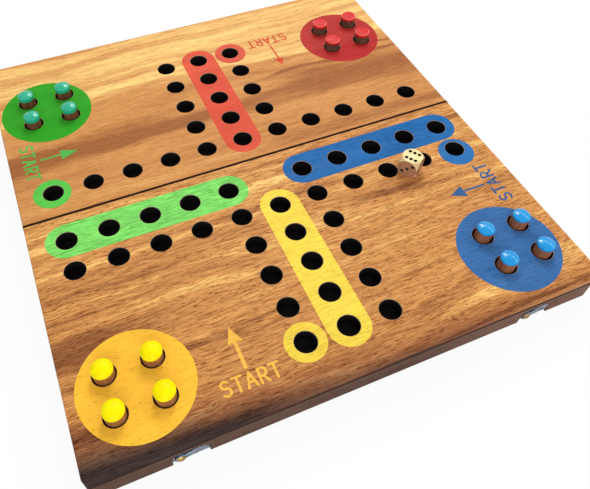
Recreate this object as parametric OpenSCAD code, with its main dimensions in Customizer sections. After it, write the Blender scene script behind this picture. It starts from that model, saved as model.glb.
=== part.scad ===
// Folding ludo board: two shallow wooden halves, hinged under the seam, that close
// into a flat box with the playing surface outside. Pegs and die are stored inside.
// Origin: on the ground under the middle of the seam. +X right, +Y to the far side, +Z up.

/* [Board] */
// Length of the board along the seam
board_w = 282; // [270:1:300]
// Depth of one half, from the seam to its outer edge
half_d = 149.5; // [146:0.5:160]
// Thickness of the drilled playing board
top_t = 8; // [7:0.5:12]
// Height of the frame rails under the playing board
rail_h = 14; // [13:0.5:20]
// Thickness of the frame rails
rail_t = 9; // [8:0.5:12]
// Thickness of the backing panel that closes the holes from below
panel_t = 3; // [2:0.5:4]
// Radius of the outer vertical corners
corner_r = 3; // [1:0.5:5]
// Gap left at the seam in each half, so that the halves fold freely
seam_gap = 0.25; // [0.1:0.05:0.4]
// Radius of the rounding along the outer long top edge of the playing board
long_edge_r = 3; // [1:0.5:5]
// Radius of the rounding along the short top edges of the playing board
side_edge_r = 1.2; // [0.4:0.2:3]

/* [Holes] */
// Distance between holes along the seam
pitch_x = 24; // [22:0.5:25]
// Distance between holes across the seam
pitch_y = 21.3; // [20:0.1:22]
// Distance from the seam to the nearest row of holes
first_row = 18.8; // [18:0.1:20]
// Radius of a peg hole
hole_r = 6; // [5.5:0.1:6.5]

/* [Pegs] */
// Radius of a yellow peg
yellow_peg_r = 5.4; // [4.5:0.1:5.6]
// Radius of a green or blue peg
enamel_peg_r = 4.9; // [4.5:0.1:5.6]
// Radius of a red peg
red_peg_r = 5.3; // [4.5:0.1:5.6]
// Height of a yellow peg's top above the playing surface
yellow_rise = 9.2; // [7:0.1:12]
// Height of a green or blue peg's top above the playing surface
enamel_rise = 8.3; // [7:0.1:12]
// Height of a red peg's top above the playing surface
red_rise = 7.7; // [7:0.1:12]
// Radius of the round top of a yellow peg
yellow_dome_r = 6.8; // [5.8:0.2:12]
// Radius of the flatter round top of a green or blue peg
enamel_dome_r = 9.5; // [7:0.5:16]
// Chamfer on the flat top of a red peg
red_chamfer = 1.1; // [0.5:0.1:1.5]

/* [Die] */
// Edge length of the die
die_a = 12; // [10:0.5:13]
// Radius of the ball that rounds the die's corners
die_ball_r = 8.5; // [8.2:0.1:9.4]
// Radius of the balls that sink the pips
pip_r = 1.1; // [0.8:0.1:1.3]
// Turn of the die on the board
die_turn = 35; // [0:1:89]
// Place of the die along the seam, from the middle of the board
die_x = 84; // [80:0.5:90]
// Place of the die across the seam; the near side is negative
die_y = -44.8; // [-60:0.2:-40]

/* [Hinges] */
// Distance of each hinge from the middle of the board
hinge_x = 88; // [60:1:110]
// Length of a hinge
hinge_l = 30; // [24:1:40]
// Radius of the hinge knuckles
knuckle_r = 1.25; // [1.2:0.05:1.5]
// Radius of the hinge pins
pin_r = 0.6; // [0.5:0.05:0.7]
// Width of a hinge leaf, from the pin's axis
leaf_w = 8; // [7:0.5:8.5]
// Thickness of a hinge leaf
leaf_t = 0.8; // [0.6:0.1:1]

/* [Latches] */
// Distance of each latch from the middle of the board
latch_x = 98; // [85:1:110]
// Height of the hook's pivot above the rim
pivot_h = 4.5; // [4:0.5:6]
// Distance from the hook's pivot to the middle of its notch
hook_l = 9; // [8.5:0.5:11]
// Width of the hook's arm
hook_w = 4; // [3.6:0.2:4.4]
// Thickness of the hook
hook_t = 1.2; // [1:0.1:1.4]
// How far the hook points up from level when it is parked
hook_parked = 12; // [0:1:20]
// Depth of the recess in the rail that takes a latch or a catch stud
recess_d = 1.9; // [1.9:0.1:3.1]
// Height of that recess above the rim
recess_h = 10.5; // [10.5:0.5:12]

/* [Hidden] */

// Smoothness of all round shapes
$fn = 48;
// A little extra length, so that cuts run clean through
eps = 0.5;

// Heights above the ground: the rims stand clear of it by the hinge knuckles
rim_z = knuckle_r;
board_z = rim_z + rail_h;
surface_z = board_z + top_t;
panel_z = board_z - panel_t;

// Hinge details
knuckles = 5;
knuckle_gap = 0.2;
bore_r = pin_r + 0.05;
barrel_relief = knuckle_r + 0.35;
leaf_clear = 0.15;
screw_r = 0.9;
screw_head_r = 1.9;
screw_head_h = 1;
screw_l = 8;
screw_spread = 20;
screw_y = 5;

// Latch details, as heights out from the floor of the recess in the rail
plate_t = 0.6;
plate_clear = 0.1;
rivet_r = 1.2;
rivet_bore_r = rivet_r + 0.05;
rivet_l = 4;
rivet_head_r = 2.3;
rivet_head_t = 1;
hook_gap = 0.1;
boss_r = 3;
notch_r = 1.7;
eye_r = 3.4;
tab_r = 1.6;
stud_r = 1.4;
stud_head_r = 2.4;
stud_neck = plate_t + hook_gap + hook_t + 0.25;
stud_head_t = 0.85;
// The stud lies where the hook's notch comes down to when the box is closed
stud_h = hook_l - pivot_h;
// Reach of the recess to both sides of the pivot: the turning hook stays clear of it
recess_left = boss_r + 1.2;
recess_right = hook_l + eye_r - 0.4 + tab_r + 0.6;
recess_corner_r = 4.5;

// Colours of the woods, paints and metals
wood = "peru";
rail_wood = "sienna";
panel_wood = [0.16, 0.12, 0.1];
nickel = "silver";
brass = [0.78, 0.62, 0.3];
yellow = [1, 0.93, 0.05];
blue = [0, 0.5, 0.82];
green = [0, 0.62, 0.48];
red = [0.9, 0.22, 0.2];
bone = [0.93, 0.86, 0.68];

// Place of a hole, from its column 1 to 11 and its row 1 to 11, both from the front left
function hole_x(column) = (column - 6) * pitch_x;
function hole_y(row) = row < 7
    ? -first_row - (6 - row) * pitch_y
    : first_row + (row - 7) * pitch_y;

// True where the cross of tracks and home lanes has a hole
function on_track(column, row) =
    (column >= 5 && column <= 7 || row >= 5 && row <= 7) && !(column == 6 && row == 6);
// True where one of the four bases has a hole
function in_base(column, row) =
    (column <= 2 || column >= 10) && (row <= 2 || row >= 10);

// Outline of one half, y from the seam outwards, with its two outer corners rounded
module half_outline() {
    w = board_w;
    r = corner_r;
    depth = half_d - seam_gap;
    translate([-w / 2, seam_gap]) square([w, depth - r]);
    translate([-w / 2 + r, seam_gap]) square([w - 2 * r, depth]);
    for (side = [-1, 1]) translate([side * (w / 2 - r), half_d - r]) circle(r);
}

// Puts a shape drawn for the back half on the front half instead
module on_half(half) {
    if (half == "back") children();
    else mirror([0, 1, 0]) children();
}

// Holes of one half, from its first row to its last
module hole_drills(rows) {
    for (column = [1 : 11], row = rows)
        if (on_track(column, row) || in_base(column, row))
            translate([hole_x(column), hole_y(row), board_z - eps])
                cylinder(r = hole_r, h = top_t + 2 * eps);
}

// Takes the square edge off a rounded one: drawn along Y, the edge at x = 0 and z = 0,
// with the solid on the negative sides
module edge_rounding(r, length) {
    difference() {
        translate([-r, -eps, -r]) cube([r + eps, length + 2 * eps, r + eps]);
        translate([-r, -2 * eps, -r]) rotate([-90, 0, 0])
            cylinder(r = r, h = length + 4 * eps);
    }
}

// Rounds the outer long top edge and both short top edges of one half
module top_edge_cuts() {
    for (side = [0, 1]) mirror([side, 0, 0])
        translate([board_w / 2, 0, surface_z]) edge_rounding(side_edge_r, half_d);
    translate([board_w / 2, half_d, surface_z]) rotate(90)
        edge_rounding(long_edge_r, board_w);
}

// Solid board of one half, drilled through at every place of the game
module playing_board(half, rows) {
    color(wood) difference() {
        on_half(half) difference() {
            translate([0, 0, board_z]) linear_extrude(top_t) half_outline();
            top_edge_cuts();
        }
        hole_drills(rows);
    }
}

module front_playing_board() { playing_board("front", [1 : 6]); }
module back_playing_board() { playing_board("back", [7 : 11]); }

// Thin panel let in under the playing board: the pegs stand on it, and it is the
// floor of the storage tray when the box is closed
module backing_panel(half) {
    inner_w = board_w - 2 * rail_t;
    near = seam_gap + rail_t;
    color(panel_wood) on_half(half)
        translate([-inner_w / 2, near, panel_z])
            cube([inner_w, half_d - rail_t - near, panel_t]);
}

module front_backing_panel() { backing_panel("front"); }
module back_backing_panel() { backing_panel("back"); }

// Rail along the outer edge, with the board's rounded corners
module outer_rail_body(half) {
    on_half(half) intersection() {
        translate([0, 0, rim_z]) linear_extrude(rail_h) half_outline();
        translate([-board_w / 2, half_d - rail_t, 0]) cube([board_w, rail_t + eps, board_z]);
    }
}

// Both rails beside the seam, let in for the hinges: a leaf seat in the rim,
// room for the barrel, and the screws' holes
module hinge_rail(half) {
    color(rail_wood) on_half(half) difference() {
        translate([-board_w / 2, seam_gap, rim_z]) cube([board_w, rail_t, rail_h]);
        for (side = [-1, 1]) translate([side * hinge_x, 0, 0]) {
            translate([-hinge_l / 2, 0, rim_z - eps])
                cube([hinge_l, leaf_w, leaf_t + eps]);
            translate([-hinge_l / 2 - eps, 0, rim_z]) rotate([0, 90, 0])
                cylinder(r = barrel_relief, h = hinge_l + 2 * eps);
            leaf_screws();
        }
    }
}

module front_hinge_rail() { hinge_rail("front"); }
module back_hinge_rail() { hinge_rail("back"); }

// Rail along one short side, between the outer rail and the hinge rail
module side_rail(half, side) {
    near = seam_gap + rail_t;
    color(rail_wood) on_half(half)
        translate([side > 0 ? board_w / 2 - rail_t : -board_w / 2, near, rim_z])
            cube([rail_t, half_d - rail_t - near, rail_h]);
}

module front_left_rail() { side_rail("front", -1); }
module front_right_rail() { side_rail("front", 1); }
module back_left_rail() { side_rail("back", -1); }
module back_right_rail() { side_rail("back", 1); }

// The front outer rail carries the two latches, the back one their catch studs
module front_outer_rail() {
    color(rail_wood) difference() {
        outer_rail_body("front");
        latch_recesses("front");
        for (side = [-1, 1]) on_front_wall(side * latch_x)
            wall_pin_hole(rivet_r, rivet_l);
    }
}

module back_outer_rail() {
    color(rail_wood) difference() {
        outer_rail_body("back");
        latch_recesses("back");
        for (side = [-1, 1]) on_back_wall(side * latch_x)
            wall_pin_hole(stud_r, rivet_l);
    }
}

// Countersunk screws of one leaf of a hinge, drawn for the back half; the leaf and
// the rail are cut with the same shape
module leaf_screws() {
    for (side = [-1, 1]) translate([side * screw_spread / 2, screw_y, rim_z]) {
        cylinder(r1 = screw_head_r, r2 = screw_r, h = screw_head_h);
        cylinder(r = screw_r, h = screw_l);
    }
}

module hinge_screws(half) {
    color(brass) on_half(half)
        for (side = [-1, 1]) translate([side * hinge_x, 0, 0]) leaf_screws();
}

module front_hinge_screws() { hinge_screws("front"); }
module back_hinge_screws() { hinge_screws("back"); }

// One leaf of a butt hinge, drawn at the middle of the board for the back half:
// its own knuckles and plate, clear of the knuckles of the other leaf
module hinge_leaf(own) {
    step = hinge_l / knuckles;
    difference() {
        union() {
            translate([-hinge_l / 2, 0, rim_z])
                cube([hinge_l, leaf_w, leaf_t]);
            for (i = [0 : knuckles - 1]) if (i % 2 == own)
                translate([-hinge_l / 2 + i * step + knuckle_gap / 2, 0, rim_z])
                    rotate([0, 90, 0]) cylinder(r = knuckle_r, h = step - knuckle_gap);
        }
        for (i = [0 : knuckles - 1]) if (i % 2 != own)
            translate([-hinge_l / 2 + i * step - knuckle_gap / 2, -eps, rim_z - eps])
                cube([step + knuckle_gap, eps + knuckle_r + leaf_clear, leaf_t + 2 * eps]);
        for (i = [0 : knuckles]) translate([
            -hinge_l / 2 + i * step - knuckle_gap / 2, -eps, rim_z - eps])
                cube([knuckle_gap, eps + knuckle_r + leaf_clear, leaf_t + 2 * eps]);
        translate([-hinge_l / 2 - eps, 0, rim_z]) rotate([0, 90, 0])
            cylinder(r = bore_r, h = hinge_l + 2 * eps);
        leaf_screws();
    }
}

module front_leaf(side) {
    color(brass) translate([side * hinge_x, 0, 0]) mirror([0, 1, 0]) hinge_leaf(0);
}

module back_leaf(side) {
    color(brass) translate([side * hinge_x, 0, 0]) hinge_leaf(1);
}

module hinge_pin(side) {
    color(nickel) translate([side * hinge_x - hinge_l / 2 + knuckle_gap / 2, 0, rim_z])
        rotate([0, 90, 0]) cylinder(r = pin_r, h = hinge_l - knuckle_gap);
}

module left_hinge_front_leaf() { front_leaf(-1); }
module left_hinge_back_leaf() { back_leaf(-1); }
module left_hinge_pin() { hinge_pin(-1); }
module right_hinge_front_leaf() { front_leaf(1); }
module right_hinge_back_leaf() { back_leaf(1); }
module right_hinge_pin() { hinge_pin(1); }

// Puts a shape drawn flat, its back at z = 0, on the recess floor of a half: its x runs
// along the wall and its z out of it; its y runs up the front wall, down the back one
module on_front_wall(x) {
    translate([x, -half_d + recess_d, rim_z + pivot_h]) rotate([90, 0, 0]) children();
}

module on_back_wall(x) {
    translate([x, half_d - recess_d, rim_z + stud_h]) rotate([-90, 0, 0]) children();
}

// Outline of a recess from its pivot or stud and from the rim up, with round upper
// corners; an inset makes the smaller outline of the plate that lies in it
module recess_outline(inset, bottom) {
    r = recess_corner_r - inset;
    left = recess_corner_r - recess_left;
    right = recess_right - recess_corner_r;
    upper = recess_h - recess_corner_r;
    translate([left - r, bottom]) square([right - left + 2 * r, upper - bottom]);
    hull() for (x = [left, right]) translate([x, upper]) circle(r);
}

// Recesses milled in the outer wall for the latches or the studs, open towards the rim
module latch_recesses(half) {
    on_half(half) for (side = [-1, 1])
        translate([side * latch_x, half_d + eps, rim_z]) rotate([90, 0, 0])
            linear_extrude(recess_d + eps) recess_outline(0, -eps);
}

// Blind hole for a rivet or a stud, into the wall
module wall_pin_hole(r, depth) {
    translate([0, 0, -depth]) cylinder(r = r, h = depth + eps);
}

// Base plate of a latch: it lines the whole recess, and the hook turns on it
module latch_plate(side) {
    color(nickel) on_front_wall(side * latch_x) difference() {
        linear_extrude(plate_t)
            translate([0, -pivot_h]) recess_outline(plate_clear, plate_clear);
        translate([0, 0, -eps]) cylinder(r = rivet_r, h = plate_t + 2 * eps);
    }
}

// Hook of a latch: a boss on the rivet, an arm, and an eye with its mouth on the
// lower side, which drops over the catch stud when the closed box is locked
module latch_hook(side) {
    color(nickel) on_front_wall(side * latch_x) rotate(hook_parked)
        translate([0, 0, plate_t + hook_gap]) difference() {
            linear_extrude(hook_t) difference() {
                union() {
                    circle(boss_r);
                    translate([0, -hook_w / 2]) square([hook_l, hook_w]);
                    translate([hook_l, 0]) circle(eye_r);
                    translate([hook_l + eye_r - 0.4, 0.8]) circle(tab_r);
                }
                translate([hook_l, 0]) circle(notch_r);
                translate([hook_l - notch_r, -eye_r - eps]) square([2 * notch_r, eye_r + eps]);
            }
            translate([0, 0, -eps]) cylinder(r = rivet_bore_r, h = hook_t + 2 * eps);
        }
}

// Round-head rivet that the hook turns on
module latch_rivet(side) {
    head_z = plate_t + hook_t + 2 * hook_gap;
    color(brass) on_front_wall(side * latch_x) {
        translate([0, 0, -rivet_l]) cylinder(r = rivet_r, h = rivet_l + head_z + 0.1);
        translate([0, 0, head_z]) intersection() {
            cylinder(r = rivet_head_r, h = rivet_head_t);
            translate([0, 0, rivet_head_t - 3.2]) sphere(3.2);
        }
    }
}

// Round-head stud on the back wall that the hook catches
module catch_stud(side) {
    color(nickel) on_back_wall(side * latch_x) {
        translate([0, 0, -rivet_l]) cylinder(r = stud_r, h = rivet_l + stud_neck + 0.1);
        translate([0, 0, stud_neck]) intersection() {
            cylinder(r = stud_head_r, h = stud_head_t);
            translate([0, 0, stud_head_t - 3.6]) sphere(3.6);
        }
    }
}

module left_latch_plate() { latch_plate(-1); }
module left_latch_hook() { latch_hook(-1); }
module left_latch_rivet() { latch_rivet(-1); }
module left_catch_stud() { catch_stud(-1); }
module right_latch_plate() { latch_plate(1); }
module right_latch_hook() { latch_hook(1); }
module right_latch_rivet() { latch_rivet(1); }
module right_catch_stud() { catch_stud(1); }

// Puts a peg, numbered 1 to 4, in its hole of the base whose first column and row are given
module in_base_hole(column, row, number) {
    translate([hole_x(column + (number - 1) % 2), hole_y(row + floor((number - 1) / 2)), board_z])
        children();
}

// Peg with a round top: a dowel cut by a ball
module domed_peg(r, rise, dome_r, paint) {
    length = top_t + rise;
    color(paint) intersection() {
        cylinder(r = r, h = length);
        translate([0, 0, length - dome_r])
            union() {
                sphere(dome_r);
                translate([0, 0, -length]) cylinder(r = dome_r - 0.01, h = length);
            }
    }
}

// Peg with a flat, chamfered top
module flat_peg(r, rise, paint) {
    length = top_t + rise;
    color(paint) {
        cylinder(r = r, h = length - red_chamfer);
        translate([0, 0, length - red_chamfer])
            cylinder(r1 = r, r2 = r - red_chamfer, h = red_chamfer);
    }
}

module yellow_peg(number) {
    in_base_hole(1, 1, number) domed_peg(yellow_peg_r, yellow_rise, yellow_dome_r, yellow);
}

module blue_peg(number) {
    in_base_hole(10, 1, number) domed_peg(enamel_peg_r, enamel_rise, enamel_dome_r, blue);
}

module green_peg(number) {
    in_base_hole(1, 10, number) domed_peg(enamel_peg_r, enamel_rise, enamel_dome_r, green);
}

module red_peg(number) {
    in_base_hole(10, 10, number) flat_peg(red_peg_r, red_rise, red);
}

// Pips of one face, drawn on the face z = 0: count 1 to 6
module pips(count) {
    d = die_a * 0.24;
    if (count % 2 == 1) sphere(pip_r);
    if (count > 1) for (s = [-1, 1]) translate([s * d, s * d, 0]) sphere(pip_r);
    if (count > 3) for (s = [-1, 1]) translate([s * d, -s * d, 0]) sphere(pip_r);
    if (count == 6) for (s = [-1, 1]) translate([s * d, 0, 0]) sphere(pip_r);
}

// Wooden die with ball-rounded corners and sunk pips, six up: opposite faces add to seven
module die_body() {
    h = die_a / 2;
    difference() {
        intersection() {
            cube(die_a, center = true);
            sphere(die_ball_r);
        }
        translate([0, 0, h]) pips(6);
        translate([0, 0, -h]) pips(1);
        rotate([0, 90, 0]) translate([0, 0, h]) pips(4);
        rotate([0, -90, 0]) translate([0, 0, h]) rotate(90) pips(3);
        rotate([90, 0, 0]) translate([0, 0, h]) pips(2);
        rotate([-90, 0, 0]) translate([0, 0, h]) pips(5);
    }
}

// The die lies beside the blue lane
module die() {
    color(bone) translate([die_x, die_y, surface_z + die_a / 2])
        rotate(die_turn) die_body();
}

front_playing_board();
front_backing_panel();
front_outer_rail();
front_hinge_rail();
front_left_rail();
front_right_rail();
back_playing_board();
back_backing_panel();
back_outer_rail();
back_hinge_rail();
back_left_rail();
back_right_rail();
left_hinge_front_leaf();
left_hinge_back_leaf();
left_hinge_pin();
right_hinge_front_leaf();
right_hinge_back_leaf();
right_hinge_pin();
front_hinge_screws();
back_hinge_screws();
left_latch_plate();
left_latch_hook();
left_latch_rivet();
left_catch_stud();
right_latch_plate();
right_latch_hook();
right_latch_rivet();
right_catch_stud();
yellow_peg(1);  // yellow_peg_1
yellow_peg(2);  // yellow_peg_2
yellow_peg(3);  // yellow_peg_3
yellow_peg(4);  // yellow_peg_4
blue_peg(1);  // blue_peg_1
blue_peg(2);  // blue_peg_2
blue_peg(3);  // blue_peg_3
blue_peg(4);  // blue_peg_4
green_peg(1);  // green_peg_1
green_peg(2);  // green_peg_2
green_peg(3);  // green_peg_3
green_peg(4);  // green_peg_4
red_peg(1);  // red_peg_1
red_peg(2);  // red_peg_2
red_peg(3);  // red_peg_3
red_peg(4);  // red_peg_4
die();
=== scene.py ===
import math
import random

import bmesh
import bpy
from mathutils import Matrix, Vector
from mathutils.geometry import delaunay_2d_cdt


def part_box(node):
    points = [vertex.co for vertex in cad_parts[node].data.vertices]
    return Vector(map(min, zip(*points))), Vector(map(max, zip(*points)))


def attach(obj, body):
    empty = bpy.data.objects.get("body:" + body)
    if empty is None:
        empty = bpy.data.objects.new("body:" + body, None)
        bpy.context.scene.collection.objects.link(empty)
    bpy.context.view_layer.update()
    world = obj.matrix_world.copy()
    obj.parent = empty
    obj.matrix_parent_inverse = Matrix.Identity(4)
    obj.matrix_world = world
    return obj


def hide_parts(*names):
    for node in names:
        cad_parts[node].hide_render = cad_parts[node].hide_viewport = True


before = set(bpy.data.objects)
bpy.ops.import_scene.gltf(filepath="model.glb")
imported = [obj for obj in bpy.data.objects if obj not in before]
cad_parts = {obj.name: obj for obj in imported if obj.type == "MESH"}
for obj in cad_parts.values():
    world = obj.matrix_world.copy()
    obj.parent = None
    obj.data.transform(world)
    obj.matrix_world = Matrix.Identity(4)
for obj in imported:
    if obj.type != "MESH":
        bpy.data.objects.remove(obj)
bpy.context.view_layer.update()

# Table top, daylight and camera
# The board lies on a plain pale table, lit by a big window behind it to the right and by the
# pale room around. The camera looks down on it from beyond the near left corner.
MM = 0.001
board_low, board_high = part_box("front_playing_board")
surface_z = board_high.z
surround_light = 0.62
window_power = 9.0
window_size = 0.42
window_place = (0.45, 0.95, 1.15)
skylight_power = 8.0
skylight_long = 2.6
skylight_wide = 0.16
skylight_place = (0.86, 0.47, 1.0)
front_power = 18.0
front_size = 1.4
front_place = (-0.5, -1.7, 0.9)
table_size = 4.0
table_white = 0.9
table_glow = 0.93
table_roughness = 0.9
camera_place = (-0.1020, -0.2471, surface_z + 0.2787)
camera_turn = (38.605, -0.432, -22.739)
camera_lens = 37.92
camera_shift = (0.0598, -0.05)


def added_node(tree, kind, sockets=None, **settings):
    """A node with its settings, and its sockets set to values or linked."""
    node = tree.nodes.new(kind)
    for name, value in settings.items():
        setattr(node, name, value)
    for name, value in (sockets or {}).items():
        if isinstance(value, bpy.types.NodeSocket):
            tree.links.new(value, node.inputs[name])
        else:
            node.inputs[name].default_value = value
    return node


def sums(tree, operation, first, second=0.0, third=0.0):
    """The result of one Math node."""
    node = added_node(tree, "ShaderNodeMath", {0: first, 1: second, 2: third}, operation=operation)
    return node.outputs[0]


world = bpy.data.worlds.new("pale_room")
bpy.context.scene.world = world
world.use_nodes = True
room = world.node_tree
room.nodes.clear()
room_rays = added_node(room, "ShaderNodeLightPath").outputs
room_shiny = sums(room, "MAXIMUM", room_rays["Is Glossy Ray"], room_rays["Is Transmission Ray"])
room_share = sums(room, "MAXIMUM", room_rays["Is Camera Ray"], room_shiny)
room_light = added_node(room, "ShaderNodeBackground", {"Strength": surround_light})
room_seen = added_node(room, "ShaderNodeBackground", {"Color": (1.0, 1.0, 1.0, 1.0)})
room_mix = added_node(room, "ShaderNodeMixShader", {
    0: room_share, 1: room_light.outputs[0], 2: room_seen.outputs[0]})
added_node(room, "ShaderNodeOutputWorld", {"Surface": room_mix.outputs[0]})


def area_light(name, place, power, long, wide):
    """A rectangular light that faces the board."""
    light = bpy.data.objects.new(name, bpy.data.lights.new(name, "AREA"))
    light.data.shape = "RECTANGLE"
    light.data.size = long
    light.data.size_y = wide
    light.data.energy = power
    light.location = place
    light.rotation_euler = (-Vector(place)).to_track_quat("-Z", "Y").to_euler()
    bpy.context.scene.collection.objects.link(light)


area_light("window_light", window_place, window_power, window_size, 1.6 * window_size)
area_light("skylight", skylight_place, skylight_power, skylight_long, skylight_wide)
area_light("front_light", front_place, front_power, front_size, front_size)

table_top = bpy.data.objects.new("table_top", bpy.data.meshes.new("table_top"))
half_table = table_size / 2
table_top.data.from_pydata(
    [(-half_table, -half_table, 0), (half_table, -half_table, 0),
     (half_table, half_table, 0), (-half_table, half_table, 0)], [], [(0, 1, 2, 3)])
table_paint = bpy.data.materials.new("pale_table")
table_paint.use_nodes = True
table_tree = table_paint.node_tree
table_shader = table_tree.nodes["Principled BSDF"]
table_shader.inputs["Base Color"].default_value = (table_white, table_white, table_white, 1.0)
table_shader.inputs["Roughness"].default_value = table_roughness
table_rays = added_node(table_tree, "ShaderNodeLightPath").outputs
table_share = sums(table_tree, "MULTIPLY", table_rays["Is Camera Ray"], table_glow)
table_shine = added_node(table_tree, "ShaderNodeEmission")
table_mix = added_node(table_tree, "ShaderNodeMixShader", {
    0: table_share, 1: table_shader.outputs[0], 2: table_shine.outputs[0]})
table_tree.links.new(
    table_mix.outputs[0], table_tree.nodes["Material Output"].inputs["Surface"])
table_top.data.materials.append(table_paint)
bpy.context.scene.collection.objects.link(table_top)

camera = bpy.data.objects.new("camera", bpy.data.cameras.new("camera"))
camera.location = camera_place
camera.rotation_euler = [math.radians(turn) for turn in camera_turn]
camera.data.sensor_width = 36.0
camera.data.lens = camera_lens
camera.data.shift_x, camera.data.shift_y = camera_shift
bpy.context.scene.collection.objects.link(camera)
bpy.context.scene.camera = camera
bpy.context.scene.view_settings.view_transform = "Standard"

# Playing boards
# Two slabs of open-pored hardwood, honey brown with broad darker streaks along the seam,
# planed, rounded along the outer edges, drilled right through and lacquered. The drill holes
# are stained black.
board_w = board_high.x - board_low.x
half_d = -board_low.y
seam_gap = -board_high.y
board_z = board_low.z
corner_r = 3.0 * MM
long_edge_r = 2.9 * MM
side_edge_r = 1.2 * MM
seam_edge_r = 0.5 * MM
joint_chamfer = 0.3 * MM
seam_corner = 2.0 * MM
pitch_x = 24.0 * MM
pitch_y = 21.3 * MM
first_row = 18.8 * MM
hole_r = 6.0 * MM
rim_cut = 0.2 * MM
columns = range(1, 12)


def ramp(tree, value, low, high, to_low=0.0, to_high=1.0):
    """A smooth step from low to high, which may also fall."""
    node = added_node(
        tree, "ShaderNodeMapRange",
        {"Value": value, "From Min": low, "From Max": high, "To Min": to_low, "To Max": to_high},
        interpolation_type="SMOOTHSTEP")
    return node.outputs[0]


def blended(tree, share, first, second, blend="MIX"):
    """Two colours mixed by a share."""
    node = tree.nodes.new("ShaderNodeMix")
    node.data_type = "RGBA"
    node.blend_type = blend
    for socket, value in ((0, share), (6, first), (7, second)):
        if isinstance(value, bpy.types.NodeSocket):
            tree.links.new(value, node.inputs[socket])
        elif socket == 0:
            node.inputs[0].default_value = value
        else:
            node.inputs[socket].default_value = (*value, 1.0)
    return node.outputs[2]


def times(tree, vector, factors):
    """A vector or a colour multiplied by another, part by part."""
    node = added_node(
        tree, "ShaderNodeVectorMath", {0: vector, 1: factors}, operation="MULTIPLY")
    return node.outputs[0]


def scaled(tree, vector, factor):
    """A vector or a colour multiplied by one number."""
    node = added_node(
        tree, "ShaderNodeVectorMath", {0: vector, "Scale": factor}, operation="SCALE")
    return node.outputs[0]


def stretched(tree, place, x, y, z):
    """A vector that has one unit where the place has x, y and z."""
    return times(tree, place, (1 / x, 1 / y, 1 / z))


def parts(tree, vector):
    """The X, Y and Z of a vector."""
    return added_node(tree, "ShaderNodeSeparateXYZ", {0: vector}).outputs


def cloud(tree, vector, seed, detail=2.0, roughness=0.5):
    """Soft noise from 0 to 1 round 0.5."""
    node = added_node(
        tree, "ShaderNodeTexNoise",
        {"Vector": vector, "W": seed, "Scale": 1.0, "Detail": detail, "Roughness": roughness},
        noise_dimensions="4D")
    return node.outputs["Fac"]


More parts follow.
